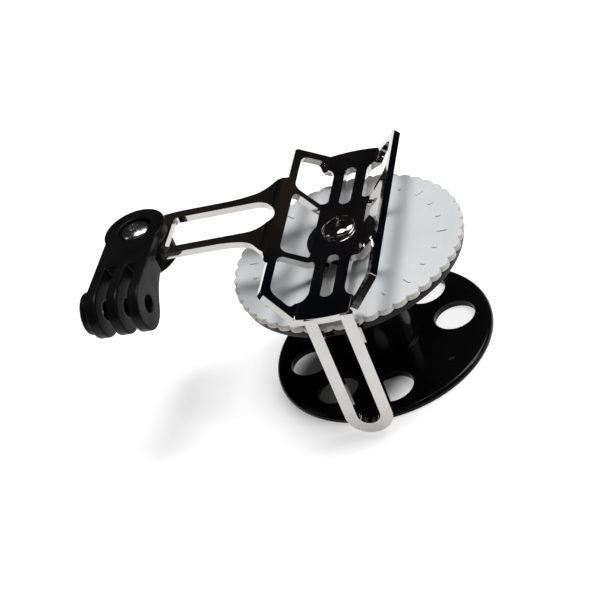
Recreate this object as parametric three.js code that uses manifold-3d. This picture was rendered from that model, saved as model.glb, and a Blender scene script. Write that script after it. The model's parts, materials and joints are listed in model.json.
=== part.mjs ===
// Compact line reel: a spool with a hand disc turning under a folded steel bracket, and a camera mount on its arm.
// Millimetres, +Z up along the spool's axis, the reel standing on its lower flange at z = 0.
// The bracket's bar runs along Y, its arm runs towards -X and its line guide hangs down on the -Y side.
import * as THREE from "three";
import { mergeVertices } from "three/addons/utils/BufferGeometryUtils.js";
import Module from "manifold-3d";

const wasm = await Module();
wasm.setup();

const TAU = 2 * Math.PI;
const RUNNING_GAP = 0.15; // between faces that slide on each other
const SHAFT_GAP = 0.07; // around a turning shaft, on its radius
const SEAT_GAP = 0.02; // between faces that stay pressed together

// Spool
const FLANGE_R = 33.3;
const LOWER_FLANGE_T = 2.0;
const RIM_ROUND = 1.5;
const UPPER_FLANGE_BOTTOM = 33.1;
const UPPER_FLANGE_T = 2.3;
const HUB_R = 10.7;
const HUB_FOOT_R = 11.8;
const HUB_FOOT_H = 0.5;
const SPIGOT_R = 7.5;
const SPIGOT_RISE = 3.0; // above the hand disc
const FLANGE_HOLE_COUNT = 8; // equal stations, one of them used by the line hole
const FLANGE_HOLE_R = 6.2;
const FLANGE_HOLE_PITCH_R = (HUB_FOOT_R + FLANGE_R) / 2 - 0.15;
const FLANGE_HOLE_START = 14; // degrees
const LINE_HOLE_R = 1.1;
const LINE_HOLE_PITCH_R = FLANGE_R - 7.7;
const NUT_POCKET_R = 7.0;
const NUT_POCKET_H = 8.0;

// Hand disc
const DISC_OVERHANG = 0.7; // past the flange
const DISC_R = FLANGE_R + DISC_OVERHANG;
const DISC_T = 1.8;
const SCALLOPS = 48;
const SCALLOP_DEPTH = 1.1;
const MARK_COUNT = 24;
const MARK_H = 0.3;
const MARK_OUTER_R = DISC_R - 4.5;
const MARK_INNER_R = MARK_OUTER_R - 3.0;

// Axle
const AXLE_R = 3.0;
const SLEEVE_R = 4.5;
const SCREW_HEAD_R = 4.9;
const SCREW_HEAD_H = 2.2;
const WASHER_R = 10.3;
const WASHER_T = 1.6;
const LOWER_WASHER_R = 6.4;
const LOWER_WASHER_T = 1.0;
const AXLE_NUT_FLATS = 10.0;
const AXLE_NUT_H = 5.6;

// Bracket sheet
const SHEET_T = 2.0;
const PLATE_HALF = 7.0;
const FOLD_DEG = 45;
const FOLD_R = 2.0; // of the sheet's middle
const RAIL_S = 19.3; // from the bar's centre line along the sheet
const RAIL_W = 2.4;
const GUIDE_CLEARANCE = 2.0; // between the hand disc and the line guide
const END_ARC_R = DISC_R + GUIDE_CLEARANCE + SHEET_T;
const RAIL_HALF_LENGTH = END_ARC_R - 4.8;
const CROSS_HALF = 9.0;
const BAR_HALF = 5.1;
const BAR_SLOT_HALF = 1.75;
const BAR_SLOT_FROM = 11.6;
const BAR_SLOT_TO = RAIL_HALF_LENGTH - 3.8;
const SPOKE_Y = 11.8;
const SPOKE_SPLAY = 3.0;
const SPOKE_W = 2.1;
const STRUT_W = 2.3;
const ARM_FOLD_S = RAIL_S + 1.6;
const ARM_HALF = 10.0;
const ARM_BAR_W = 3.2;
const ARM_LENGTH = 41.0; // from the arm's fold to the mount's screw
const MOUNT_S = ARM_FOLD_S + ARM_LENGTH;
const ARM_SLOT_FROM = ARM_FOLD_S - 0.4;
const ARM_SLOT_TO = MOUNT_S - 9.7;
const ARM_ROOT_HALF = 18.6;

// Line guide loop
const LOOP_X = 1.7; // off the bar's centre line
const LOOP_HALF = 6.8;
const LOOP_LEG_W = 3.5;
const LOOP_TIP_Z = 0.7;

// Camera mount
const EYE_R = 9.3;
const EYE_T = 3.7;
const PAD_R = EYE_R - 0.7; // the arm's round end below the eyelet
const EYE_RECESS_R = 5.1;
const EYE_RECESS_H = 1.9;
const PRONG_R = 7.5;
const PRONG_T = 3.1;
const PRONG_GAP = 3.3;
const PRONG_OUT = 26.4;
const PRONG_DROP = 7.6; // from the eyelet's top to the prong axis
const PRONG_BOLT_R = 2.6;
const NUT_BOSS_R = 6.1;
const NUT_BOSS_H = 2.6;
const PRONG_NUT_FLATS = 8.0;
const PRONG_NUT_H = 3.6;
const MOUNT_SCREW_R = 2.5;
const MOUNT_HEAD_R = 4.3;
const MOUNT_HEAD_H = 2.4;
const CLAMP_FLATS = 17.4;
const CLAMP_H = 7.0;
const MOUNT_NUT_FLATS = 8.0;
const MOUNT_NUT_H = 5.0;

// Heights that follow from the stack
const UPPER_FLANGE_TOP = UPPER_FLANGE_BOTTOM + UPPER_FLANGE_T;
const DISC_BOTTOM = UPPER_FLANGE_TOP + SEAT_GAP;
const SPIGOT_TOP = DISC_BOTTOM + DISC_T + SPIGOT_RISE;
const WASHER_BOTTOM = SPIGOT_TOP + RUNNING_GAP;
const PLATE_BOTTOM = WASHER_BOTTOM + WASHER_T + SEAT_GAP;
const PLATE_TOP = PLATE_BOTTOM + SHEET_T;
const SLEEVE_BOTTOM = NUT_POCKET_H - RUNNING_GAP;
const LOWER_WASHER_BOTTOM = SLEEVE_BOTTOM - SEAT_GAP - LOWER_WASHER_T;
const AXLE_NUT_BOTTOM = LOWER_WASHER_BOTTOM - SEAT_GAP - AXLE_NUT_H;

// Materials
function material(color, metalness, roughness) {
  return new THREE.MeshStandardMaterial({ color, metalness, roughness });
}

const POLISHED = [0x9a9c9e, 1, 0.12];
const STEEL = [0xb4b6b8, 1, 0.3];
const BLACK_GLOSS = [0x0b0b0c, 0, 0.18];
const BLACK_SATIN = [0x121213, 0, 0.42];
const WHITE = [0xe6e7e8, 0, 0.4];
const BRONZE = [0xa9844c, 1, 0.4];

// Booleans
function toSolid(geometry) {
  const plain = geometry.index ? geometry.toNonIndexed() : geometry.clone();
  plain.deleteAttribute("normal");
  plain.deleteAttribute("uv");
  const merged = mergeVertices(plain, 1e-4);
  return new wasm.Manifold(
    new wasm.Mesh({
      numProp: 3,
      vertProperties: merged.attributes.position.array,
      triVerts: new Uint32Array(merged.index.array),
    }),
  );
}

function toGeometry(solid) {
  const mesh = solid.getMesh();
  const positions = new Float32Array(mesh.numVert * 3);
  for (let i = 0; i < mesh.numVert; i += 1) {
    positions.set(mesh.vertProperties.subarray(i * mesh.numProp, i * mesh.numProp + 3), i * 3);
  }
  const geometry = new THREE.BufferGeometry();
  geometry.setAttribute("position", new THREE.BufferAttribute(positions, 3));
  geometry.setIndex(new THREE.BufferAttribute(mesh.triVerts, 1));
  geometry.computeVertexNormals();
  return geometry;
}

const cut = (solid, ...tools) => tools.reduce((rest, tool) => rest.subtract(tool), solid);
const join = (first, ...others) => others.reduce((sum, other) => sum.add(other), first);

// Shapes
function lathe(profile, segments = 64) {
  const points = profile.map(([r, z]) => new THREE.Vector2(r, z));
  return toSolid(new THREE.LatheGeometry(points, segments).rotateX(Math.PI / 2));
}

function rod(radius, bottom, top, segments = 48) {
  const geometry = new THREE.CylinderGeometry(radius, radius, top - bottom, segments);
  return toSolid(geometry.rotateX(Math.PI / 2).translate(0, 0, (top + bottom) / 2));
}

function hexRod(flats, bottom, top) {
  const corner = flats / 2 / Math.cos(Math.PI / 6);
  const geometry = new THREE.CylinderGeometry(corner, corner, top - bottom, 6);
  return toSolid(geometry.rotateX(Math.PI / 2).rotateZ(Math.PI / 2).translate(0, 0, (top + bottom) / 2));
}

function block(x0, x1, y0, y1, z0, z1) {
  const geometry = new THREE.BoxGeometry(x1 - x0, y1 - y0, z1 - z0);
  return toSolid(geometry.translate((x0 + x1) / 2, (y0 + y1) / 2, (z0 + z1) / 2));
}

function slab(shape, bottom, top, curveSegments = 10) {
  const geometry = new THREE.ExtrudeGeometry(shape, { depth: top - bottom, bevelEnabled: false, curveSegments });
  return toSolid(geometry.translate(0, 0, bottom));
}

const radians = (degrees) => (degrees * Math.PI) / 180;
const turned = (solid, degrees) => solid.rotate([0, 0, degrees]);
const moved = (solid, x, y, z = 0) => solid.translate([x, y, z]);

// Draws a closed outline whose corners are rounded; each corner is [x, y, radius].
function roundedOutline(path, corners) {
  const count = corners.length;
  corners.forEach(([x, y, radius = 0], i) => {
    const [px, py] = corners[(i + count - 1) % count];
    const [nx, ny] = corners[(i + 1) % count];
    const back = Math.hypot(px - x, py - y);
    const ahead = Math.hypot(nx - x, ny - y);
    const reach = Math.min(radius, back / 2, ahead / 2);
    const from = [x + ((px - x) * reach) / back, y + ((py - y) * reach) / back];
    const to = [x + ((nx - x) * reach) / ahead, y + ((ny - y) * reach) / ahead];
    if (i === 0) {
      path.moveTo(...from);
    } else {
      path.lineTo(...from);
    }
    if (reach > 0) {
      path.quadraticCurveTo(x, y, ...to);
    }
  });
  path.closePath();
  return path;
}

const mirrorY = (corners) => corners.map(([x, y, r]) => [x, -y, r]).reverse();
const mirrorX = (corners) => corners.map(([x, y, r]) => [-x, y, r]).reverse();

// The parts collect here
const root = new THREE.Group();
root.name = "line_reel";

function addPart(name, solid, look) {
  const mesh = new THREE.Mesh(toGeometry(solid), material(...look));
  mesh.name = name;
  root.add(mesh);
  return mesh;
}

// Spool: two flanges and the hub in one moulding
function spool() {
  const roundPoints = [0, 1, 2, 3, 4].map((i) => {
    const a = (i / 4) * (Math.PI / 2);
    return [FLANGE_R - RIM_ROUND + RIM_ROUND * Math.cos(a), LOWER_FLANGE_T - RIM_ROUND + RIM_ROUND * Math.sin(a)];
  });
  const boreR = SLEEVE_R + SHAFT_GAP;
  const body = lathe(
    [
      [NUT_POCKET_R, 0],
      [FLANGE_R - 0.3, 0],
      [FLANGE_R, 0.3],
      ...roundPoints,
      [HUB_FOOT_R, LOWER_FLANGE_T],
      [HUB_FOOT_R - 0.2, LOWER_FLANGE_T + HUB_FOOT_H],
      [HUB_R, LOWER_FLANGE_T + HUB_FOOT_H],
      [HUB_R, UPPER_FLANGE_BOTTOM - 0.8],
      [HUB_R + 0.8, UPPER_FLANGE_BOTTOM],
      [FLANGE_R - 0.4, UPPER_FLANGE_BOTTOM],
      [FLANGE_R, UPPER_FLANGE_BOTTOM + 0.4],
      [FLANGE_R, UPPER_FLANGE_TOP - 0.4],
      [FLANGE_R - 0.4, UPPER_FLANGE_TOP],
      [SPIGOT_R, UPPER_FLANGE_TOP],
      [SPIGOT_R, SPIGOT_TOP - 0.3],
      [SPIGOT_R - 0.3, SPIGOT_TOP],
      [boreR, SPIGOT_TOP],
      [boreR, NUT_POCKET_H],
      [NUT_POCKET_R, NUT_POCKET_H],
      [NUT_POCKET_R, 0],
    ],
    80,
  );
  const tools = [];
  const step = 360 / FLANGE_HOLE_COUNT;
  for (let i = 0; i < FLANGE_HOLE_COUNT; i += 1) {
    const lineStation = i === FLANGE_HOLE_COUNT - 1;
    const radius = lineStation ? LINE_HOLE_R : FLANGE_HOLE_R;
    const pitch = lineStation ? LINE_HOLE_PITCH_R : FLANGE_HOLE_PITCH_R;
    const hole = rod(radius, -1, LOWER_FLANGE_T + 1, lineStation ? 16 : 36);
    tools.push(turned(moved(hole, pitch, 0), FLANGE_HOLE_START + i * step));
  }
  return cut(body, ...tools);
}

// Hand disc: scalloped rim and a ring of raised marks
function handDisc() {
  const shape = new THREE.Shape();
  const samples = SCALLOPS * 8;
  for (let i = 0; i < samples; i += 1) {
    const angle = (i / samples) * TAU;
    const lobe = Math.abs(Math.sin((angle * SCALLOPS) / 2));
    const r = DISC_R - SCALLOP_DEPTH * (1 - lobe ** 0.6);
    const point = [r * Math.cos(angle), r * Math.sin(angle)];
    if (i === 0) {
      shape.moveTo(...point);
    } else {
      shape.lineTo(...point);
    }
  }
  shape.closePath();
  const bore = new THREE.Path();
  bore.absarc(0, 0, SPIGOT_R + SEAT_GAP, 0, TAU, true);
  shape.holes.push(bore);
  const plain = slab(shape, DISC_BOTTOM, DISC_BOTTOM + DISC_T, 24);
  const top = DISC_BOTTOM + DISC_T;
  const marks = [];
  for (let i = 0; i < MARK_COUNT; i += 1) {
    const long = i % 3 === 0 ? 1 : 0.55;
    const reach = MARK_INNER_R + (MARK_OUTER_R - MARK_INNER_R) * long;
    const mark = block(MARK_INNER_R, reach, -0.45, 0.45, top - 0.2, top + MARK_H);
    marks.push(turned(mark, (i * 360) / MARK_COUNT));
  }
  return join(plain, ...marks);
}

// Crossed recess cut into a screw head, below its top
function crossRecess(top, depth, half, width) {
  const one = block(-half, half, -width / 2, width / 2, top - depth, top + 1);
  return join(one, turned(one, 90));
}

// A low domed head on a shank, head underside at seat
function domedScrew(seat, headR, headH, shankR, shankBottom) {
  const dome = [0, 1, 2, 3, 4, 5].map((i) => {
    const a = (i / 5) * (Math.PI / 2);
    return [headR * Math.cos(a), seat + headH * (0.25 + 0.75 * Math.sin(a))];
  });
  dome[dome.length - 1][0] = 0;
  return lathe(
    [
      [0, shankBottom],
      [shankR - 0.5, shankBottom],
      [shankR, shankBottom + 0.5],
      [shankR, seat],
      [headR - 0.15, seat],
      ...dome,
    ],
    48,
  );
}

function axleScrew() {
  const seat = PLATE_TOP + SEAT_GAP;
  const screw = domedScrew(seat, SCREW_HEAD_R, SCREW_HEAD_H, AXLE_R, AXLE_NUT_BOTTOM - 0.8);
  return cut(screw, crossRecess(seat + SCREW_HEAD_H, 1.7, 2.3, 1.1));
}

function ring(innerR, outerR, bottom, top, segments = 64) {
  const edge = 0.15;
  return lathe(
    [
      [innerR, bottom],
      [outerR - edge, bottom],
      [outerR, bottom + edge],
      [outerR, top - edge],
      [outerR - edge, top],
      [innerR, top],
      [innerR, bottom],
    ],
    segments,
  );
}

function lockNut(flats, boreR, bottom, top, collarR) {
  const collar = rod(collarR, top - 1.2, top, 36);
  const body = hexRod(flats, bottom, top - 1.2 + 0.01);
  return cut(join(body, collar), rod(boreR, bottom - 1, top + 1, 32));
}

// Bracket: the flat blank first, x being the distance along the sheet
function windowsOf(railS) {
  const inner = railS - RAIL_W;
  const spokeOut = SPOKE_Y + SPOKE_SPLAY;
  const half = SPOKE_W / 2;
  const endY = RAIL_HALF_LENGTH - STRUT_W;
  const middle = [
    [PLATE_HALF + 0.3, -SPOKE_Y + half, 1.2],
    [inner, -spokeOut + half, 3.0],
    [inner, spokeOut - half, 3.0],
    [PLATE_HALF + 0.3, SPOKE_Y - half, 1.2],
  ];
  const upper = [
    [BAR_HALF, SPOKE_Y + half + 0.4, 1.6],
    [PLATE_HALF + 1, SPOKE_Y + half + 0.5, 1.0],
    [inner, spokeOut + half, 2.4],
    [inner, endY, 2.6],
    [CROSS_HALF + 1.2, endY + 2.6, 1.6],
    [CROSS_HALF, endY - 0.3, 1.8],
    [BAR_HALF + 1.2, BAR_SLOT_TO + 0.4, 1.6],
    [BAR_HALF, BAR_SLOT_TO - 2.2, 1.0],
  ];
  return [middle, upper, mirrorY(upper)];
}

function stadium(halfWidth, from, to) {
  const path = new THREE.Path();
  path.absarc(0, to - halfWidth, halfWidth, 0, Math.PI, false);
  path.absarc(0, from + halfWidth, halfWidth, Math.PI, TAU, false);
  path.closePath();
  return path;
}

function roundHole(x, y, radius) {
  const path = new THREE.Path();
  path.absarc(x, y, radius, 0, TAU, false);
  return path;
}

function bracketBlank() {
  const shape = new THREE.Shape();
  const arcSteps = 8;
  const endArc = [];
  for (let i = 0; i <= arcSteps; i += 1) {
    const x = -CROSS_HALF + (2 * CROSS_HALF * i) / arcSteps;
    endArc.push([x, -Math.sqrt(END_ARC_R ** 2 - x ** 2), i % arcSteps === 0 ? 0.8 : 0]);
  }
  const rightEdge = [
    [RAIL_S, -RAIL_HALF_LENGTH, 1.2],
    [RAIL_S, RAIL_HALF_LENGTH, 1.2],
  ];
  const rootCurve = [
    [-RAIL_S, ARM_ROOT_HALF, 0.3],
    [-ARM_FOLD_S + 0.4, ARM_ROOT_HALF - 1.0, 0.6],
    [-ARM_FOLD_S - 4.6, ARM_HALF + 1.6, 3.0],
    [-ARM_FOLD_S - 12, ARM_HALF, 4.5],
    [-MOUNT_S + 9, ARM_HALF, 3.0],
  ];
  const padSteps = 14;
  const pad = [];
  for (let i = 0; i <= padSteps; i += 1) {
    const a = radians(80 + (200 * i) / padSteps);
    pad.push([-MOUNT_S + PAD_R * Math.cos(a), PAD_R * Math.sin(a), 0]);
  }
  roundedOutline(shape, [
    ...endArc,
    ...rightEdge,
    ...mirrorY(endArc),
    [-RAIL_S, RAIL_HALF_LENGTH, 1.2],
    ...rootCurve,
    ...pad,
    ...mirrorY(rootCurve),
    [-RAIL_S, -RAIL_HALF_LENGTH, 1.2],
  ]);
  const slotInner = ARM_HALF - ARM_BAR_W;
  const armSlot = new THREE.Path();
  armSlot.absarc(-ARM_SLOT_FROM - slotInner, 0, slotInner, -Math.PI / 2, Math.PI / 2, false);
  armSlot.lineTo(-ARM_SLOT_TO + 1.5, slotInner);
  armSlot.quadraticCurveTo(-ARM_SLOT_TO, slotInner, -ARM_SLOT_TO, slotInner - 1.5);
  armSlot.lineTo(-ARM_SLOT_TO, -slotInner + 1.5);
  armSlot.quadraticCurveTo(-ARM_SLOT_TO, -slotInner, -ARM_SLOT_TO + 1.5, -slotInner);
  armSlot.closePath();
  const windows = [...windowsOf(RAIL_S), ...windowsOf(RAIL_S).map(mirrorX)];
  shape.holes.push(
    stadium(BAR_SLOT_HALF, BAR_SLOT_FROM, BAR_SLOT_TO),
    stadium(BAR_SLOT_HALF, -BAR_SLOT_TO, -BAR_SLOT_FROM),
    roundHole(0, 0, AXLE_R + 0.1),
    roundHole(-MOUNT_S, 0, MOUNT_SCREW_R + 0.1),
    armSlot,
    ...windows.map((corners) => roundedOutline(new THREE.Path(), corners)),
  );
  return slab(shape, 0, SHEET_T, 7);
}

// Bends met going outwards along the sheet from its middle: where each starts and how far it turns up
const FOLD = radians(FOLD_DEG);
const FOLD_LENGTH = FOLD_R * FOLD;
const RIGHT_BENDS = [{ start: PLATE_HALF, turn: FOLD }];
const LEFT_BENDS = [
  { start: PLATE_HALF, turn: FOLD },
  { start: ARM_FOLD_S - FOLD_LENGTH / 2, turn: -FOLD },
];

// Place on the folded sheet of a point a distance s out and a height up from the sheet's underside
function foldedPoint(s, up, bends) {
  let x = 0;
  let z = 0;
  let angle = 0;
  let at = 0;
  for (const bend of bends) {
    if (s <= bend.start) {
      break;
    }
    x += (bend.start - at) * Math.cos(angle);
    z += (bend.start - at) * Math.sin(angle);
    const share = Math.min(1, (s - bend.start) / FOLD_LENGTH);
    const next = angle + bend.turn * share;
    const side = Math.sign(bend.turn);
    x += side * FOLD_R * (Math.sin(next) - Math.sin(angle));
    z += side * FOLD_R * (Math.cos(angle) - Math.cos(next));
    angle = next;
    at = Math.min(s, bend.start + FOLD_LENGTH);
  }
  x += (s - at) * Math.cos(angle);
  z += (s - at) * Math.sin(angle);
  const lift = up - SHEET_T / 2;
  return [x - lift * Math.sin(angle), z + lift * Math.cos(angle)];
}

// Neighbouring strips share their edge exactly once both are on the same fine grid
const snapped = (value) => Math.round(value * 1000) / 1000;

function foldedSheet(blank) {
  const bendSteps = 4;
  const stations = [-MOUNT_S - PAD_R - 5];
  for (const bend of [...LEFT_BENDS].reverse()) {
    for (let i = bendSteps; i >= 0; i -= 1) {
      stations.push(-(bend.start + (FOLD_LENGTH * i) / bendSteps));
    }
  }
  for (let i = 0; i <= bendSteps; i += 1) {
    stations.push(PLATE_HALF + (FOLD_LENGTH * i) / bendSteps);
  }
  stations.push(RAIL_S + 5);
  const middle = PLATE_BOTTOM + SHEET_T / 2;
  const pieces = [];
  for (let i = 0; i + 1 < stations.length; i += 1) {
    const strip = blank.intersect(block(stations[i], stations[i + 1], -60, 60, -1, SHEET_T + 1));
    const geometry = toGeometry(strip);
    const position = geometry.getAttribute("position");
    for (let v = 0; v < position.count; v += 1) {
      const s = position.getX(v);
      const bends = s < 0 ? LEFT_BENDS : RIGHT_BENDS;
      const [x, z] = foldedPoint(Math.abs(s), position.getZ(v), bends);
      position.setXYZ(v, snapped(Math.sign(s) * x), snapped(position.getY(v)), snapped(middle + z));
    }
    geometry.deleteAttribute("normal");
    pieces.push(toSolid(geometry));
  }
  return join(...pieces);
}

function lineGuide() {
  const shape = new THREE.Shape();
  const top = PLATE_TOP - 0.3;
  const innerR = LOOP_HALF - LOOP_LEG_W;
  const centre = LOOP_TIP_Z + LOOP_HALF;
  shape.moveTo(LOOP_HALF, top);
  shape.lineTo(innerR, top);
  shape.lineTo(innerR, centre);
  shape.absarc(0, centre, innerR, 0, Math.PI, true);
  shape.lineTo(-innerR, top);
  shape.lineTo(-LOOP_HALF, top);
  shape.lineTo(-LOOP_HALF, centre);
  shape.absarc(0, centre, LOOP_HALF, Math.PI, TAU, false);
  shape.closePath();
  const geometry = new THREE.ExtrudeGeometry(shape, { depth: SHEET_T, bevelEnabled: false, curveSegments: 16 });
  return toSolid(geometry.rotateX(Math.PI / 2).translate(LOOP_X, -END_ARC_R + SHEET_T, 0));
}

// Where the arm's flat end lies once folded
const [ARM_X, ARM_Z] = foldedPoint(MOUNT_S, SHEET_T, LEFT_BENDS);
const MOUNT_X = -ARM_X;
const ARM_TOP = PLATE_BOTTOM + SHEET_T / 2 + ARM_Z;
const ARM_BOTTOM = ARM_TOP - SHEET_T;
const EYE_BOTTOM = ARM_TOP + SEAT_GAP;
const EYE_TOP = EYE_BOTTOM + EYE_T;
const PRONG_Z = EYE_TOP - PRONG_DROP;
const CLAMP_TOP = ARM_BOTTOM - SEAT_GAP;
const CLAMP_BOTTOM = CLAMP_TOP - CLAMP_H;

// Extrudes a side view drawn in (y, z) between two x planes
function sidePrism(shape, x0, x1) {
  const geometry = new THREE.ExtrudeGeometry(shape, { depth: x1 - x0, bevelEnabled: false, curveSegments: 14 });
  return toSolid(geometry.rotateZ(Math.PI / 2).rotateY(Math.PI / 2).translate(x0, 0, 0));
}

function mountBody() {
  const half = 1.5 * PRONG_T + PRONG_GAP;
  const clampCorner = CLAMP_FLATS / 2 / Math.cos(Math.PI / 6);
  const neckBack = -Math.max(ARM_HALF, clampCorner) - 1.0;
  const eye = rod(EYE_R, EYE_BOTTOM, EYE_TOP, 56);
  const side = new THREE.Shape();
  const prongTop = PRONG_Z + PRONG_R;
  side.moveTo(-2, EYE_BOTTOM);
  side.lineTo(-2, EYE_TOP);
  side.lineTo(-EYE_R, EYE_TOP);
  side.quadraticCurveTo(-EYE_R - 4, prongTop, -PRONG_OUT, prongTop);
  side.absarc(-PRONG_OUT, PRONG_Z, PRONG_R, Math.PI / 2, (Math.PI * 7) / 4, false);
  side.quadraticCurveTo(neckBack - 5, PRONG_Z - 1.0, neckBack, PRONG_Z - 0.6);
  side.lineTo(neckBack, EYE_BOTTOM);
  side.closePath();
  const neck = sidePrism(side, -half, half);
  const boss = toSolid(
    new THREE.CylinderGeometry(NUT_BOSS_R, NUT_BOSS_R, NUT_BOSS_H + 0.1, 48)
      .rotateZ(Math.PI / 2)
      .translate(-half - NUT_BOSS_H / 2 + 0.05, -PRONG_OUT, PRONG_Z),
  );
  const bolt = toSolid(
    new THREE.CylinderGeometry(PRONG_BOLT_R, PRONG_BOLT_R, 60, 32)
      .rotateZ(Math.PI / 2)
      .translate(0, -PRONG_OUT, PRONG_Z),
  );
  const corner = (PRONG_NUT_FLATS / 2 + 0.1) / Math.cos(Math.PI / 6);
  const nutPocket = toSolid(
    new THREE.CylinderGeometry(corner, corner, 12, 6)
      .rotateZ(Math.PI / 2)
      .translate(-half - NUT_BOSS_H - 6 + PRONG_NUT_H + 0.2, -PRONG_OUT, PRONG_Z),
  );
  const gaps = [-1, 1].map((sign) => {
    const centre = (sign * (PRONG_T + PRONG_GAP)) / 2;
    const gap = new THREE.Shape();
    const reach = PRONG_OUT + PRONG_R + 3;
    roundedOutline(gap, [
      [-reach, PRONG_Z - PRONG_R - 4, 0],
      [neckBack - 1.4, PRONG_Z - PRONG_R - 4, 0],
      [neckBack - 1.4, PRONG_Z - 2.5, 2.0],
      [neckBack - 6.0, EYE_TOP + 0.5, 1.0],
      [neckBack - 6.2, EYE_TOP + 4, 0],
      [-reach, EYE_TOP + 4, 0],
    ]);
    return sidePrism(gap, centre - PRONG_GAP / 2, centre + PRONG_GAP / 2);
  });
  const head = rod(EYE_RECESS_R, EYE_TOP - EYE_RECESS_H, EYE_TOP + 2, 40);
  const hole = rod(MOUNT_SCREW_R + SHAFT_GAP, EYE_BOTTOM - 1, EYE_TOP + 1, 48);
  const whole = join(eye, neck, boss);
  return moved(cut(whole, bolt, nutPocket, ...gaps, head, hole), MOUNT_X, 0);
}

function prongNut() {
  const half = 1.5 * PRONG_T + PRONG_GAP;
  const corner = PRONG_NUT_FLATS / 2 / Math.cos(Math.PI / 6);
  const outerFace = -half - NUT_BOSS_H;
  const inner = outerFace + PRONG_NUT_H;
  const nut = new THREE.CylinderGeometry(corner, corner, PRONG_NUT_H, 6).rotateZ(Math.PI / 2);
  const bore = new THREE.CylinderGeometry(2.1, 2.1, PRONG_NUT_H + 2, 28).rotateZ(Math.PI / 2);
  const solid = toSolid(nut).subtract(toSolid(bore));
  return moved(solid, MOUNT_X + (outerFace + inner) / 2, -PRONG_OUT, PRONG_Z);
}

function mountScrew() {
  const seat = EYE_TOP - EYE_RECESS_H + SEAT_GAP;
  const tip = CLAMP_BOTTOM + 0.6;
  const screw = domedScrew(seat, MOUNT_HEAD_R, MOUNT_HEAD_H, MOUNT_SCREW_R, tip);
  const socket = hexRod(3.0, seat + MOUNT_HEAD_H - 1.7, seat + MOUNT_HEAD_H + 1);
  return moved(cut(screw, socket), MOUNT_X, 0);
}

function clampBlock() {
  const body = hexRod(CLAMP_FLATS, CLAMP_BOTTOM, CLAMP_TOP);
  const corner = CLAMP_FLATS / 2 / Math.cos(Math.PI / 6);
  const softened = lathe(
    [
      [0, CLAMP_BOTTOM],
      [corner - 2.2, CLAMP_BOTTOM],
      [corner - 0.5, CLAMP_BOTTOM + 1.4],
      [corner - 0.5, CLAMP_TOP],
      [0, CLAMP_TOP],
    ],
    72,
  );
  const pocket = hexRod(MOUNT_NUT_FLATS + 0.2, CLAMP_BOTTOM - 1, CLAMP_BOTTOM + MOUNT_NUT_H + 0.3);
  const hole = rod(MOUNT_SCREW_R + 0.1, CLAMP_BOTTOM - 1, CLAMP_TOP + 1, 32);
  return moved(cut(body.intersect(softened), pocket, hole), MOUNT_X, 0);
}

const washerTop = WASHER_BOTTOM + WASHER_T;
const sleeveR = AXLE_R + SEAT_GAP;

addPart("spool", spool(), BLACK_GLOSS);
addPart("hand_disc", handDisc(), WHITE);
addPart("sleeve", ring(sleeveR, SLEEVE_R, SLEEVE_BOTTOM, WASHER_BOTTOM - SEAT_GAP, 48), BRONZE);
addPart("thrust_washer", ring(sleeveR, WASHER_R, WASHER_BOTTOM, washerTop), BLACK_SATIN);
addPart(
  "lower_washer",
  ring(sleeveR, LOWER_WASHER_R, LOWER_WASHER_BOTTOM, LOWER_WASHER_BOTTOM + LOWER_WASHER_T, 48),
  STEEL,
);
addPart(
  "axle_nut",
  lockNut(AXLE_NUT_FLATS, AXLE_R + SEAT_GAP, AXLE_NUT_BOTTOM, AXLE_NUT_BOTTOM + AXLE_NUT_H, 4.6),
  STEEL,
);
addPart("axle_screw", axleScrew(), POLISHED);
addPart("bracket", join(foldedSheet(bracketBlank()), lineGuide()), POLISHED);
addPart("camera_mount", mountBody(), BLACK_SATIN);
addPart("prong_nut", prongNut(), STEEL);
addPart("mount_screw", mountScrew(), STEEL);
addPart("clamp_block", clampBlock(), BLACK_SATIN);
addPart(
  "mount_nut",
  moved(
    lockNut(MOUNT_NUT_FLATS, MOUNT_SCREW_R + SEAT_GAP, CLAMP_BOTTOM + 0.2, CLAMP_BOTTOM + MOUNT_NUT_H, 3.7),
    MOUNT_X,
    0,
  ),
  STEEL,
);

// The part's frame: bottom centre of its overall box
const overall = new THREE.Box3().setFromObject(root);
root.position.x = -(overall.min.x + overall.max.x) / 2;

export default root;
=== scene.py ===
"""Looks for a compact line reel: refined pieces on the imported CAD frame, a pale floor, soft light."""
import json
import math
import bpy
import bmesh
from mathutils import Matrix, Vector


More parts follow.
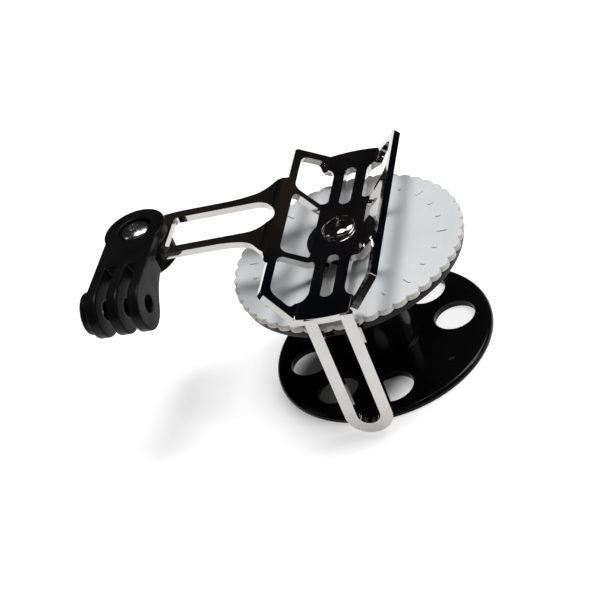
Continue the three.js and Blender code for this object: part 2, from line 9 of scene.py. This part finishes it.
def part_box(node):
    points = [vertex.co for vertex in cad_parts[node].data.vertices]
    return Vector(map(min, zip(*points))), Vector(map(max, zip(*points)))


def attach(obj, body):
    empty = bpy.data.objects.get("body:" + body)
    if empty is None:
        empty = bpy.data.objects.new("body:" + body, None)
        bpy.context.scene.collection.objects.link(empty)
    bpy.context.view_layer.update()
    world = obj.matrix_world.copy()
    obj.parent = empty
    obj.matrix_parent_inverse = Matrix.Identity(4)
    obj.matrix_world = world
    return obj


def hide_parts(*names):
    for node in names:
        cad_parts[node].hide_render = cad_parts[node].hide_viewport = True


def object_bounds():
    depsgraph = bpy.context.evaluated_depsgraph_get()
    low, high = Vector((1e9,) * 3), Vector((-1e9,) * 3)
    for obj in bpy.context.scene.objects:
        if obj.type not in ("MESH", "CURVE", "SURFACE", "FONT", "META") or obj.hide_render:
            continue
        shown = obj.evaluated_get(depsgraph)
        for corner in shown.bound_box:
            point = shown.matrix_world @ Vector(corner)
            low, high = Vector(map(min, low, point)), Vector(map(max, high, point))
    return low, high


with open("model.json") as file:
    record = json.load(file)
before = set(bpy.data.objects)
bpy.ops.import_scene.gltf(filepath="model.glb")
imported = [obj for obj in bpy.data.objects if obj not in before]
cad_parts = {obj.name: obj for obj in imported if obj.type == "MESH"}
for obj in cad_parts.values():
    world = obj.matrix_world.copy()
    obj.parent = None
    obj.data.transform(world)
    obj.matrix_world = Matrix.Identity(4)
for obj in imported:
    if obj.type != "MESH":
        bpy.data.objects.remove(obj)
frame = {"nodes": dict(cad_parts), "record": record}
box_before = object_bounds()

TAU = 2 * math.pi
MM = 0.001
NODES = frame["nodes"]
BODIES = frame["record"]["behaviour"]["bodies"]
BODY_OF = {node: body for body, members in BODIES.items() for node in members}


# sizes that repeat the CAD's, in millimetres
SEAT_GAP = 0.02
SHEET_T = 2.0
FLANGE_T = 2.0
UPPER_FLANGE_T = 2.3
HUB_R = 10.7
HUB_FOOT_R = 11.8
SPOOL_BORE_R = 4.57
NUT_POCKET_R = 7.0
NUT_POCKET_TOP = 8.0
SPIGOT_R = 7.5
DISC_BORE_R = 7.52
DISC_OVERHANG = 0.7
SCALLOPS = 48
SCALLOP_DEPTH = 1.1
LOWER_SCALLOP_SHARE = 0.97
LOWER_RIM_POINTS = 9
RING_BORE_R = 3.02
AXLE_R = 3.0
AXLE_HEAD_R = 4.9
AXLE_HEAD_H = 2.2
CLAMP_SCREW_R = 2.5
CLAMP_HEAD_R = 4.3
CLAMP_HEAD_H = 2.4
EYE_RECESS_DEPTH = 1.9
RECESS_DEPTH = 1.7
CROSS_HALF = 2.3
CROSS_WIDTH = 1.1
HEX_FLAT_R = 1.5
OVERCUT = 1

# the lower flange's ring of holes: seven large ones and, at the last station, the small line hole
HOLE_STATIONS = 8
FIRST_HOLE_DEG = 14
LARGE_HOLE = {"pitch": 22.4, "radius": 6.2, "segments": 96}
LINE_HOLE = {"pitch": 25.6, "radius": 1.1, "segments": 32}

# index marks on the hand disc
MARKS = 24
LONG_MARK_EVERY = 3
MARK_INNER_R = 26.5
MARK_LENGTH = 3.0
SHORT_MARK_SHARE = 0.55
MARK_HALF_WIDTH = 0.45
MARK_H = 0.3


# ---------------------------------------------------------------- materials
class Shader:
    """A Principled material and short calls that wire procedural detail into it."""

    def __init__(self, name):
        self.material = bpy.data.materials.new(name)
        self.material.use_nodes = True
        self.tree = self.material.node_tree
        self.principled = self.tree.nodes["Principled BSDF"]

    def node(self, kind, **values):
        made = self.tree.nodes.new(kind)
        for key, value in values.items():
            if key in made.inputs:
                made.inputs[key].default_value = value
            else:
                setattr(made, key, value)
        return made

    def link(self, source, target):
        self.tree.links.new(source, target)

    def coords(self, scale=(1, 1, 1)):
        where = self.node("ShaderNodeTexCoord")
        mapping = self.node("ShaderNodeMapping")
        mapping.inputs["Scale"].default_value = scale
        self.link(where.outputs["Object"], mapping.inputs["Vector"])
        return mapping.outputs["Vector"]

    def noise(self, scale, detail=4.0, rough=0.55, stretch=(1, 1, 1), distortion=0.0):
        made = self.node("ShaderNodeTexNoise")
        made.inputs["Scale"].default_value = scale
        made.inputs["Detail"].default_value = detail
        made.inputs["Roughness"].default_value = rough
        made.inputs["Distortion"].default_value = distortion
        self.link(self.coords(stretch), made.inputs["Vector"])
        return made.outputs["Fac"]

    def ramp(self, fac, *stops):
        made = self.node("ShaderNodeValToRGB")
        elements = made.color_ramp.elements
        while len(elements) < len(stops):
            elements.new(0.5)
        for element, (at, colour) in zip(elements, stops):
            element.position = at
            element.color = (*colour, 1) if isinstance(colour, tuple) else (colour, colour, colour, 1)
        self.link(fac, made.inputs["Fac"])
        return made.outputs["Color"]

    def mixed(self, fac, a, b):
        made = self.node("ShaderNodeMix", data_type="RGBA")
        self.link(fac, made.inputs[0])
        for value, socket in ((a, made.inputs[6]), (b, made.inputs[7])):
            if isinstance(value, tuple):
                socket.default_value = (*value, 1)
            else:
                self.link(value, socket)
        return made.outputs[2]

    def bump(self, *layers):
        """Each layer is (height socket, strength, distance in metres)."""
        normal = None
        for height, strength, distance in layers:
            made = self.node("ShaderNodeBump")
            made.inputs["Strength"].default_value = strength
            made.inputs["Distance"].default_value = distance
            self.link(height, made.inputs["Height"])
            if normal is not None:
                self.link(normal, made.inputs["Normal"])
            normal = made.outputs["Normal"]
        self.link(normal, self.principled.inputs["Normal"])

    def set(self, **values):
        for key, value in values.items():
            socket = self.principled.inputs[key.replace("_", " ")]
            if hasattr(value, "is_output"):
                self.link(value, socket)
            elif isinstance(value, tuple):
                socket.default_value = (*value, 1)
            else:
                socket.default_value = value
        return self.material


def polished_steel(name, bright=0.53, rough=(0.035, 0.11), smear=0.5):
    """Mirror polish with faint smudges, tiny scratches and slow waviness."""
    s = Shader(name)
    smudge = s.noise(95.0, 5.0, 0.62, distortion=0.6)
    fine = s.noise(900.0, 3.0, 0.6, stretch=(0.25, 1.6, 1.0))
    wave = s.noise(60.0, 2.0, 0.5)
    low, high = (tuple(bright * c for c in tint) for tint in ((0.90, 0.89, 0.88), (1.0, 0.975, 0.94)))
    colour = s.ramp(smudge, (0.3, low), (0.7, high))
    mid_rough = rough[0] + 0.4 * (rough[1] - rough[0])
    roughness = s.ramp(smudge, (0.35, rough[0]), (0.62, mid_rough), (0.8, rough[1]))
    s.set(Metallic=1.0, Base_Color=colour, Roughness=roughness)
    s.bump((wave, 0.10 * smear, 0.0006), (fine, 0.05 * smear, 0.00005))
    return s.material


def steel_edge_wear_and_highlight(name):
    """Cut and rounded edges, a little rougher than the faces and brighter: partly wear, partly painted
    highlight.
    """
    s = Shader(name)
    grain = s.noise(1500.0, 4.0, 0.7)
    # The edge colour is lighter than the faces' partly as wear and partly as a painted highlight along
    # the edges.
    colour = s.ramp(grain, (0.25, (0.56, 0.54, 0.51)), (0.75, (0.74, 0.72, 0.69)))
    s.set(Metallic=1.0, Base_Color=colour, Roughness=s.ramp(grain, (0.3, 0.16), (0.7, 0.30)))
    s.bump((grain, 0.12, 0.00004))
    return s.material


def turned_steel(name, bright=0.62):
    """Bright turned fastener with fine machining grain."""
    s = Shader(name)
    grain = s.noise(1200.0, 3.0, 0.6, stretch=(1, 1, 6))
    stain = s.noise(240.0, 4.0, 0.6)
    stained = (bright * 0.86, bright * 0.86, bright * 0.88)
    colour = s.ramp(stain, (0.3, stained), (0.7, (bright, bright, bright)))
    s.set(Metallic=1.0, Base_Color=colour, Roughness=s.ramp(grain, (0.3, 0.13), (0.7, 0.27)))
    s.bump((grain, 0.12, 0.00004))
    return s.material


def gloss_plastic(name, base=0.003, rough=(0.11, 0.22)):
    """Black moulding with a high gloss, dust and handling smudges."""
    s = Shader(name)
    s.set(Specular_IOR_Level=0.16)
    cloud = s.noise(70.0, 4.0, 0.6, distortion=0.4)
    dust = s.noise(2600.0, 2.0, 0.5)
    grain = s.noise(700.0, 3.0, 0.55)
    speck = s.ramp(dust, (0.70, 0.0), (0.76, 1.0))
    clouded = s.ramp(cloud, (0.3, (base * 0.8,) * 3), (0.8, (base * 1.5, base * 1.5, base * 1.6)))
    colour = s.mixed(speck, clouded, (0.014, 0.014, 0.014))
    s.set(Base_Color=colour, Roughness=s.ramp(cloud, (0.3, rough[0]), (0.75, rough[1])))
    s.bump((cloud, 0.06, 0.0004), (grain, 0.04, 0.00003))
    return s.material


def satin_plastic(name, base=0.003, rough=(0.33, 0.46)):
    """Black moulding with a fine satin texture."""
    s = Shader(name)
    s.set(Specular_IOR_Level=0.11)
    cloud = s.noise(150.0, 4.0, 0.6)
    grain = s.noise(3200.0, 3.0, 0.6)
    colour = s.ramp(cloud, (0.3, (base * 0.8,) * 3), (0.75, (base * 1.6, base * 1.6, base * 1.65)))
    s.set(Base_Color=colour, Roughness=s.ramp(cloud, (0.3, rough[0]), (0.75, rough[1])))
    s.bump((grain, 0.16, 0.00005))
    return s.material


def plastic_edge_wear_and_painted_light(name, colour, rough):
    """Edges of a moulding, set off from its faces: partly wear, partly painted light (a lighter strip
    on the black parts, a warmer and darker side wall on the hand disc).
    """
    s = Shader(name)
    grain = s.noise(1100.0, 4.0, 0.65)
    # The edge colour given is partly wear and partly painted light: lighter than the black faces as a
    # painted highlight, warmer and darker than the white as painted shade.
    low = tuple(c * 0.8 for c in colour)
    wear_and_painted_light_colour = s.ramp(grain, (0.3, low), (0.7, colour))
    s.set(Base_Color=wear_and_painted_light_colour, Roughness=s.ramp(grain, (0.3, rough - 0.06), (0.7, rough + 0.06)))
    s.bump((grain, 0.1, 0.00003))
    return s.material


def white_plastic(name):
    """Cool white moulding, fine satin, faint grime."""
    s = Shader(name)
    cloud = s.noise(45.0, 5.0, 0.6)
    grain = s.noise(2400.0, 3.0, 0.6)
    colour = s.ramp(cloud, (0.3, (0.56, 0.57, 0.58)), (0.75, (0.63, 0.635, 0.64)))
    s.set(Base_Color=colour, Roughness=s.ramp(cloud, (0.3, 0.34), (0.75, 0.46)))
    s.bump((cloud, 0.05, 0.0004), (grain, 0.10, 0.00004))
    return s.material


def bronze(name):
    """Turned plain bearing."""
    s = Shader(name)
    grain = s.noise(900.0, 3.0, 0.6, stretch=(1, 1, 5))
    colour = s.ramp(grain, (0.3, (0.42, 0.27, 0.11)), (0.7, (0.58, 0.39, 0.18)))
    s.set(Metallic=1.0, Base_Color=colour, Roughness=s.ramp(grain, (0.3, 0.25), (0.7, 0.4)))
    s.bump((grain, 0.12, 0.00004))
    return s.material


STEEL_FACE = polished_steel("steel_face")
STEEL_EDGE = steel_edge_wear_and_highlight("steel_edge")
FASTENER = turned_steel("fastener")
# A lighter copy of the turned steel for the rounded edges: a painted highlight.
FASTENER_EDGE = turned_steel("fastener_edge", 0.74)
BLACK_GLOSS = gloss_plastic("black_gloss")
BLACK_GLOSS_EDGE = plastic_edge_wear_and_painted_light("black_gloss_edge", (0.008, 0.008, 0.008), 0.24)
BLACK_SATIN = satin_plastic("black_satin")
BLACK_SATIN_EDGE = plastic_edge_wear_and_painted_light("black_satin_edge", (0.012, 0.012, 0.012), 0.27)
WHITE = white_plastic("white")
WHITE_EDGE = plastic_edge_wear_and_painted_light("white_edge", (0.62, 0.595, 0.56), 0.42)
BRONZE = bronze("bronze")
BRONZE_EDGE = bronze("bronze_edge")


# ---------------------------------------------------------------- mesh helpers
def mesh_object(name, bm):
    bmesh.ops.recalc_face_normals(bm, faces=bm.faces)
    mesh = bpy.data.meshes.new(name)
    bm.to_mesh(mesh)
    bm.free()
    made = bpy.data.objects.new(name, mesh)
    bpy.context.scene.collection.objects.link(made)
    return made


def copied_node(node, name):
    """The CAD node's surface with its flat faces merged back into whole faces."""
    bm = bmesh.new()
    bm.from_mesh(NODES[node].data)
    bmesh.ops.remove_doubles(bm, verts=bm.verts, dist=2e-6)
    bmesh.ops.dissolve_limit(bm, angle_limit=math.radians(1.2), verts=bm.verts, edges=bm.edges)
    return mesh_object(name, bm)


def rounded_edges(obj, width, segments, face, edge, limit=32):
    """Rounds the sharp edges and gives the rounded strip its own edge material; most of these are worn
    and lighter, partly as a painted highlight.
    """
    obj.data.materials.append(face)
    obj.data.materials.append(edge)
    for polygon in obj.data.polygons:
        polygon.use_smooth = True
        polygon.material_index = 0
    bevel = obj.modifiers.new("edges", "BEVEL")
    bevel.width = width
    bevel.segments = segments
    bevel.limit_method = "ANGLE"
    bevel.angle_limit = math.radians(limit)
    bevel.miter_outer = "MITER_ARC"
    bevel.use_clamp_overlap = True
    bevel.material = 1
    normals = obj.modifiers.new("normals", "WEIGHTED_NORMAL")
    normals.keep_sharp = False
    normals.weight = 60
    return obj


def place(obj, node):
    """Rides on the node's body and stands for the node."""
    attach(obj, BODY_OF[node])
    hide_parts(node)
    return obj


def centre_of(lo, hi):
    return (lo.x + hi.x) / 2, (lo.y + hi.y) / 2


def lathed(profile, segments, centre, radius_of=None):
    """Turns a closed (r, z) profile about a vertical line; radius_of may vary it round the rim."""
    bm = bmesh.new()
    rings = []
    for i in range(segments):
        angle = TAU * i / segments
        ring = []
        for index, (r, z) in enumerate(profile):
            if radius_of is not None:
                r = radius_of(index, r, angle)
            x, y = centre[0] + r * math.cos(angle), centre[1] + r * math.sin(angle)
            ring.append(bm.verts.new((x, y, z)))
        rings.append(ring)
    count = len(profile)
    for i in range(segments):
        here, ahead = rings[i], rings[(i + 1) % segments]
        for j in range(count):
            k = (j + 1) % count
            bm.faces.new((here[j], ahead[j], ahead[k], here[k]))
    bmesh.ops.remove_doubles(bm, verts=bm.verts, dist=1e-7)
    return bm


def arc(cx, cz, radius, start, stop, steps):
    angles = [math.radians(start + (stop - start) * i / steps) for i in range(steps + 1)]
    return [(cx + radius * math.cos(a), cz + radius * math.sin(a)) for a in angles]


def cut_by(obj, cutters):
    """Applies exact booleans so that the holes are real geometry."""
    for cutter in cutters:
        modifier = obj.modifiers.new("hole", "BOOLEAN")
        modifier.operation = "DIFFERENCE"
        modifier.solver = "EXACT"
        modifier.object = cutter
    bpy.context.view_layer.update()
    mesh = bpy.data.meshes.new_from_object(obj.evaluated_get(bpy.context.evaluated_depsgraph_get()))
    obj.modifiers.clear()
    old = obj.data
    obj.data = mesh
    mesh.name = old.name
    bpy.data.meshes.remove(old)
    for cutter in cutters:
        bpy.data.objects.remove(cutter)
    return obj


def rod(radius, x, y, z0, z1, segments=96, spin=0.0):
    bm = bmesh.new()
    angles = [spin + TAU * i / segments for i in range(segments)]
    low = [bm.verts.new((x + radius * math.cos(a), y + radius * math.sin(a), z0)) for a in angles]
    high = [bm.verts.new((v.co.x, v.co.y, z1)) for v in low]
    for i in range(segments):
        k = (i + 1) % segments
        bm.faces.new((low[i], low[k], high[k], high[i]))
    bm.faces.new(list(reversed(low)))
    bm.faces.new(high)
    return mesh_object("cutter", bm)


def bar_cutter(half_x, half_y, z0, z1, centre, turn):
    bm = bmesh.new()
    bmesh.ops.create_cube(bm, size=2.0)
    matrix = Matrix.Translation((centre[0], centre[1], (z0 + z1) / 2)) @ Matrix.Rotation(turn, 4, "Z")
    sized = matrix @ Matrix.Diagonal((half_x, half_y, (z1 - z0) / 2, 1))
    bmesh.ops.transform(bm, matrix=sized, verts=bm.verts)
    return mesh_object("cutter", bm)


# ---------------------------------------------------------------- pieces
def spool_piece():
    lo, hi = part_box("spool")
    centre = centre_of(lo, hi)
    outer = (hi.y - lo.y) / 2
    disc_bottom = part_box("hand_disc")[0].z
    flange, rim = FLANGE_T * MM, 1.5 * MM
    upper_top = disc_bottom - SEAT_GAP * MM
    upper_low = upper_top - UPPER_FLANGE_T * MM
    hub, foot = HUB_R * MM, HUB_FOOT_R * MM
    bore, pocket, pocket_top = SPOOL_BORE_R * MM, NUT_POCKET_R * MM, NUT_POCKET_TOP * MM
    spigot, spigot_top = SPIGOT_R * MM, hi.z
    profile = [
        (pocket, 0.0),
        *arc(outer - 0.4 * MM, 0.4 * MM, 0.4 * MM, -90, 0, 4),
        *arc(outer - rim, flange - rim, rim, 12, 90, 10),
        (foot + 2.0 * MM, flange),
        (foot, flange),
        *arc(foot - 0.3 * MM, flange + 0.2 * MM, 0.3 * MM, 0, 90, 3),
        *arc(hub + 0.3 * MM, flange + 0.8 * MM, 0.3 * MM, 270, 180, 3),
        (hub, upper_low - 1.2 * MM),
        *arc(hub + 0.9 * MM, upper_low - 0.9 * MM, 0.9 * MM, 180, 90, 5),
        *arc(outer - 0.5 * MM, upper_low + 0.5 * MM, 0.5 * MM, -90, 0, 4),
        *arc(outer - 0.4 * MM, upper_top - 0.4 * MM, 0.4 * MM, 0, 90, 4),
        (spigot, upper_top),
        *arc(spigot - 0.3 * MM, spigot_top - 0.3 * MM, 0.3 * MM, 0, 90, 3),
        (bore, spigot_top),
        (bore, pocket_top),
        (pocket, pocket_top),
    ]
    spool = mesh_object("spool_body_moulding", lathed(profile, 192, centre))
    cutters = []
    for i in range(HOLE_STATIONS):
        hole = LINE_HOLE if i == HOLE_STATIONS - 1 else LARGE_HOLE
        angle = math.radians(FIRST_HOLE_DEG + i * 360 / HOLE_STATIONS)
        pitch = hole["pitch"] * MM
        x, y = centre[0] + pitch * math.cos(angle), centre[1] + pitch * math.sin(angle)
        top = flange + OVERCUT * MM
        cutters.append(rod(hole["radius"] * MM, x, y, -OVERCUT * MM, top, hole["segments"]))
    cut_by(spool, cutters)
    rounded_edges(spool, 0.35 * MM, 3, BLACK_GLOSS, BLACK_GLOSS_EDGE, 40)
    return place(spool, "spool")


def disc_piece():
    lo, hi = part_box("hand_disc")
    centre = centre_of(lo, hi)
    outer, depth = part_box("spool")[1].y + DISC_OVERHANG * MM, SCALLOP_DEPTH * MM
    bore = DISC_BORE_R * MM
    mark_h = MARK_H * MM
    top = hi.z - mark_h
    soft = 0.45 * MM
    profile = [
        (bore, lo.z),
        *arc(outer - soft * 0.6, lo.z + soft * 0.6, soft * 0.6, -90, 0, 3),
        *arc(outer - soft, top - soft, soft, 0, 90, 5),
        (outer - 2.4 * MM, top),
        (bore, top),
    ]
    rim_indices = set(range(1, len(profile) - 2))

    def radius_of(index, r, angle):
        if index not in rim_indices:
            return r
        lobe = abs(math.sin(angle * SCALLOPS / 2)) ** 0.6
        share = LOWER_SCALLOP_SHARE if index < LOWER_RIM_POINTS else 1.0
        return r - depth * (1 - lobe) * share

    bm = lathed(profile, SCALLOPS * 20, centre, radius_of)
    for i in range(MARKS):
        share = 1.0 if i % LONG_MARK_EVERY == 0 else SHORT_MARK_SHARE
        inner, reach = MARK_INNER_R * MM, (MARK_INNER_R + MARK_LENGTH * share) * MM
        sunk, half = top - 0.15 * MM, MARK_HALF_WIDTH * MM
        add_mark(bm, centre, TAU * i / MARKS, inner, reach, half, sunk, top + mark_h)
    disc = mesh_object("hand_disc_moulding", bm)
    rounded_edges(disc, 0.12 * MM, 2, WHITE, WHITE_EDGE, 50)
    # Painted shade: the whole side wall of the hand disc, not only its rounded edges, takes the warmer,
    # darker edge colour.
    for polygon in disc.data.polygons:
        across = math.hypot(polygon.center.x - centre[0], polygon.center.y - centre[1])
        if across > outer - 2.0 * MM and polygon.normal.z < 0.8:
            polygon.material_index = 1
    return place(disc, "hand_disc")


def add_mark(bm, centre, angle, inner, reach, half, z0, z1):
    """A raised index mark with rounded ends and a narrower top."""
    half_turn = [math.radians(-90 + 22.5 * k) for k in range(9)]
    outline = [(reach - half + half * math.cos(a), half * math.sin(a)) for a in half_turn]
    outline += [(inner + half - half * math.cos(a), -half * math.sin(a)) for a in half_turn]
    mid = (inner + reach) / 2
    levels = [(z0, 1.0), (z1 - 0.1 * MM, 1.0), (z1, 0.70)]
    rings = []
    for z, scale in levels:
        ring = []
        for x, y in outline:
            px = mid + (x - mid) * (1 - (1 - scale) * half / ((reach - inner) / 2))
            py = y * scale
            ring.append(bm.verts.new((
                centre[0] + px * math.cos(angle) - py * math.sin(angle),
                centre[1] + px * math.sin(angle) + py * math.cos(angle),
                z,
            )))
        rings.append(ring)
    count = len(outline)
    for low, high in zip(rings, rings[1:]):
        for i in range(count):
            k = (i + 1) % count
            bm.faces.new((low[i], low[k], high[k], high[i]))
    bm.faces.new(list(reversed(rings[0])))
    bm.faces.new(rings[-1])


def ring_piece(node, name, inner, face, edge, soft=0.3):
    lo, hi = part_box(node)
    centre = centre_of(lo, hi)
    outer = (hi.y - lo.y) / 2
    r = soft * MM
    profile = [
        (inner, lo.z),
        *arc(outer - r, lo.z + r, r, -90, 0, 4),
        *arc(outer - r, hi.z - r, r, 0, 90, 4),
        (inner, hi.z),
    ]
    made = mesh_object(name, lathed(profile, 128, centre))
    rounded_edges(made, 0.15 * MM, 2, face, edge, 50)
    return place(made, node)


def screw_piece(node, name, shank, head_r, head_h, face, edge, recess):
    """A low domed head on a shank; recess(centre, top) gives the cutters for its drive."""
    lo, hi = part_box(node)
    centre = centre_of(lo, hi)
    head_r, head_h, shank = head_r * MM, head_h * MM, shank * MM
    full_top = TOPS[node]
    seat = full_top - head_h
    angles = [math.radians(a) for a in range(0, 90, 6)]
    dome = [(head_r * math.cos(a), seat + head_h * (0.25 + 0.75 * math.sin(a))) for a in angles]
    profile = [
        (0.0, lo.z),
        (shank - 0.5 * MM, lo.z),
        (shank, lo.z + 0.5 * MM),
        (shank, seat),
        (head_r - 0.15 * MM, seat),
        *dome,
        (0.0, full_top),
    ]
    made = mesh_object(name, lathed(profile, 96, centre))
    cut_by(made, recess(centre, full_top))
    rounded_edges(made, 0.14 * MM, 2, face, edge, 40)
    return place(made, node)


def cross_recess(centre, top):
    depth, half, width = RECESS_DEPTH * MM, CROSS_HALF * MM, CROSS_WIDTH * MM
    low, high = top - depth, top + OVERCUT * MM
    return [bar_cutter(half, width / 2, low, high, centre, turn) for turn in (0.0, math.pi / 2)]


def hex_recess(centre, top):
    corner = HEX_FLAT_R * MM / math.cos(math.pi / 6)
    return [rod(corner, *centre, top - RECESS_DEPTH * MM, top + OVERCUT * MM, 6, math.pi / 6)]


def moulded(node, name, voxel, passes, face):
    """A plastic moulding: the CAD shape remeshed finely and relaxed, so that its edges are soft."""
    made = copied_node(node, name)
    remesh = made.modifiers.new("remesh", "REMESH")
    remesh.mode = "VOXEL"
    remesh.voxel_size = voxel * MM
    relax = made.modifiers.new("relax", "SMOOTH")
    relax.factor = 0.5
    relax.iterations = passes
    bpy.context.view_layer.update()
    mesh = bpy.data.meshes.new_from_object(made.evaluated_get(bpy.context.evaluated_depsgraph_get()))
    made.modifiers.clear()
    made.data = mesh
    mesh.materials.clear()
    mesh.materials.append(face)
    for polygon in mesh.polygons:
        polygon.use_smooth = True
        polygon.material_index = 0
    return place(made, node)


def refined(node, name, width, segments, face, edge, limit=32):
    made = copied_node(node, name)
    rounded_edges(made, width * MM, segments, face, edge, limit)
    return place(made, node)


TOPS = {
    "axle_screw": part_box("thrust_washer")[1].z + (SEAT_GAP + SHEET_T + SEAT_GAP + AXLE_HEAD_H) * MM,
    "mount_screw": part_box("camera_mount")[1].z + (-EYE_RECESS_DEPTH + SEAT_GAP + CLAMP_HEAD_H) * MM,
}

spool_piece()
disc_piece()
refined("bracket", "bracket_sheet", 0.32, 3, STEEL_FACE, STEEL_EDGE)
moulded("camera_mount", "camera_mount_moulding", 0.24, 9, BLACK_SATIN)
moulded("clamp_block", "clamp_block_moulding", 0.24, 5, BLACK_SATIN)
ring_piece("thrust_washer", "thrust_washer_ring", RING_BORE_R * MM, BLACK_SATIN, BLACK_SATIN_EDGE)
ring_piece("sleeve", "sleeve_tube", RING_BORE_R * MM, BRONZE, BRONZE_EDGE, 0.2)
ring_piece("lower_washer", "lower_washer_ring", RING_BORE_R * MM, FASTENER, FASTENER_EDGE, 0.2)
screw_piece("axle_screw", "axle_screw_turned", AXLE_R, AXLE_HEAD_R, AXLE_HEAD_H,
            STEEL_FACE, STEEL_EDGE, cross_recess)
screw_piece("mount_screw", "mount_screw_turned", CLAMP_SCREW_R, CLAMP_HEAD_R, CLAMP_HEAD_H,
            FASTENER, FASTENER_EDGE, hex_recess)
for nut in ("axle_nut", "mount_nut", "prong_nut"):
    refined(nut, nut + "_hex", 0.25, 2, FASTENER, FASTENER_EDGE)


# ---------------------------------------------------------------- floor and light
FLOOR_R = 0.30
FLOOR_Z = -0.0001
# Painted light: the floor glows though it is no lamp, and its glow fading to none round the spool
# paints the shade under it; SHADE_OFFSET, SHADE_INNER and SHADE_OUTER place that painted shade.
FLOOR_PAINTED_LIGHT = 0.62  # the floor's own emission, which fades to none under the spool
SHADE_OFFSET = (-0.009, -0.010)
SHADE_INNER = 0.014
SHADE_OUTER = 0.025
ROOM_TINTS = ((0.42, (0.004, 0.0045, 0.007)), (0.66, (0.030, 0.025, 0.021)))

# the camera's angles in degrees, and the spool's foot in camera space in millimetres
CAMERA_ELEVATION = 35.802
CAMERA_ROLL = -23.412
CAMERA_AZIMUTH = 22.9
CAMERA_OFFSET = (25.108, 12.742, 446.093)

# name, direction from the object, distance, size and power of each soft box
PANELS = (
    ("overhead", (0.05, 0.12, 1.0), 1.2, (0.42, 0.42), 10.0),
    ("back_right", (0.56, 0.30, 0.78), 1.2, (0.60, 0.60), 8.0),
    ("right", (0.95, 0.18, 0.45), 1.2, (0.12, 0.60), 0.7),
    ("left", (-0.95, -0.15, 0.60), 1.2, (0.30, 0.50), 0.45),
    ("front", (0.15, -1.0, 0.70), 1.3, (0.70, 0.30), 0.35),
)


def stage_floor():
    bm = bmesh.new()
    at = Matrix.Translation((0, 0, FLOOR_Z))
    bmesh.ops.create_circle(bm, cap_ends=True, segments=96, radius=FLOOR_R, matrix=at)
    floor = mesh_object("floor", bm)
    s = Shader("floor")
    mottle = s.noise(3.0, 2.0, 0.5)
    s.set(Base_Color=s.ramp(mottle, (0.3, 0.60), (0.7, 0.62)), Roughness=0.9)
    x, _ = centre_of(*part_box("spool"))
    # Painted light and shade: emission on the floor, fading to none near the spool's foot.
    where = s.node("ShaderNodeTexCoord")
    apart = s.node("ShaderNodeVectorMath", operation="DISTANCE")
    s.link(where.outputs["Object"], apart.inputs[0])
    apart.inputs[1].default_value = (x + SHADE_OFFSET[0], SHADE_OFFSET[1], FLOOR_Z)
    painted_light_fade = s.node("ShaderNodeMapRange", interpolation_type="SMOOTHSTEP")
    painted_light_fade.inputs["From Min"].default_value = SHADE_INNER
    painted_light_fade.inputs["From Max"].default_value = SHADE_OUTER
    painted_light_fade.inputs["To Max"].default_value = FLOOR_PAINTED_LIGHT
    s.link(apart.outputs["Value"], painted_light_fade.inputs["Value"])
    s.principled.inputs["Emission Color"].default_value = (1, 1, 1, 1)
    s.link(painted_light_fade.outputs["Result"], s.principled.inputs["Emission Strength"])
    floor.data.materials.append(s.material)


def sky():
    """A dim room for reflections. Camera rays see a white backdrop instead."""
    world = bpy.data.worlds.new("studio")
    bpy.context.scene.world = world
    world.use_nodes = True
    tree = world.node_tree
    room = tree.nodes["Background"]
    cloud = tree.nodes.new("ShaderNodeTexNoise")
    cloud.inputs["Scale"].default_value = 9.0
    cloud.inputs["Detail"].default_value = 5.0
    tint = tree.nodes.new("ShaderNodeValToRGB")
    for element, (at, colour) in zip(tint.color_ramp.elements, ROOM_TINTS):
        element.position = at
        element.color = (*colour, 1)
    where = tree.nodes.new("ShaderNodeTexCoord")
    tree.links.new(where.outputs["Generated"], cloud.inputs["Vector"])
    tree.links.new(cloud.outputs["Fac"], tint.inputs["Fac"])
    tree.links.new(tint.outputs["Color"], room.inputs["Color"])
    room.inputs["Strength"].default_value = 1.0
    backdrop = tree.nodes.new("ShaderNodeBackground")
    backdrop.inputs["Color"].default_value = (1.0, 1.0, 1.0, 1)
    path = tree.nodes.new("ShaderNodeLightPath")
    mix = tree.nodes.new("ShaderNodeMixShader")
    tree.links.new(path.outputs["Is Camera Ray"], mix.inputs[0])
    tree.links.new(room.outputs[0], mix.inputs[1])
    tree.links.new(backdrop.outputs[0], mix.inputs[2])
    tree.links.new(mix.outputs[0], tree.nodes["World Output"].inputs["Surface"])


def panel(name, direction, distance, size, power, target):
    light = bpy.data.lights.new(name, "AREA")
    light.shape = "RECTANGLE"
    light.size, light.size_y = size
    light.energy = power
    made = bpy.data.objects.new(name, light)
    bpy.context.scene.collection.objects.link(made)
    towards = Vector(direction).normalized()
    made.location = target + towards * distance
    made.rotation_mode = "QUATERNION"
    made.rotation_quaternion = (-towards).to_track_quat("-Z", "Y")


def camera():
    origin = Vector((centre_of(*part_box("spool"))[0], 0, 0))
    e, r, az = (math.radians(v) for v in (CAMERA_ELEVATION, CAMERA_ROLL, CAMERA_AZIMUTH))
    back = Vector((math.sin(az) * math.cos(e), -math.cos(az) * math.cos(e), math.sin(e)))
    right = Vector((math.cos(az), math.sin(az), 0))
    down = (-back).cross(right)
    c, s = math.cos(r), math.sin(r)
    rows = (c * right - s * down, s * right + c * down, -back)
    shift = Vector(CAMERA_OFFSET) * MM
    place_at = -sum((row * t for row, t in zip(rows, shift)), Vector())
    data = bpy.data.cameras.new("camera")
    data.lens = 90
    data.sensor_width = 36
    data.clip_start, data.clip_end = 0.01, 20
    made = bpy.data.objects.new("camera", data)
    bpy.context.scene.collection.objects.link(made)
    axes = Matrix((rows[0], -rows[1], -rows[2])).transposed().to_4x4()
    made.matrix_world = Matrix.Translation(origin + place_at) @ axes
    bpy.context.scene.camera = made


stage_floor()
sky()
middle = (box_before[0] + box_before[1]) / 2
for row in PANELS:
    panel(*row, middle)
camera()
bpy.context.scene.view_settings.view_transform = "Standard"
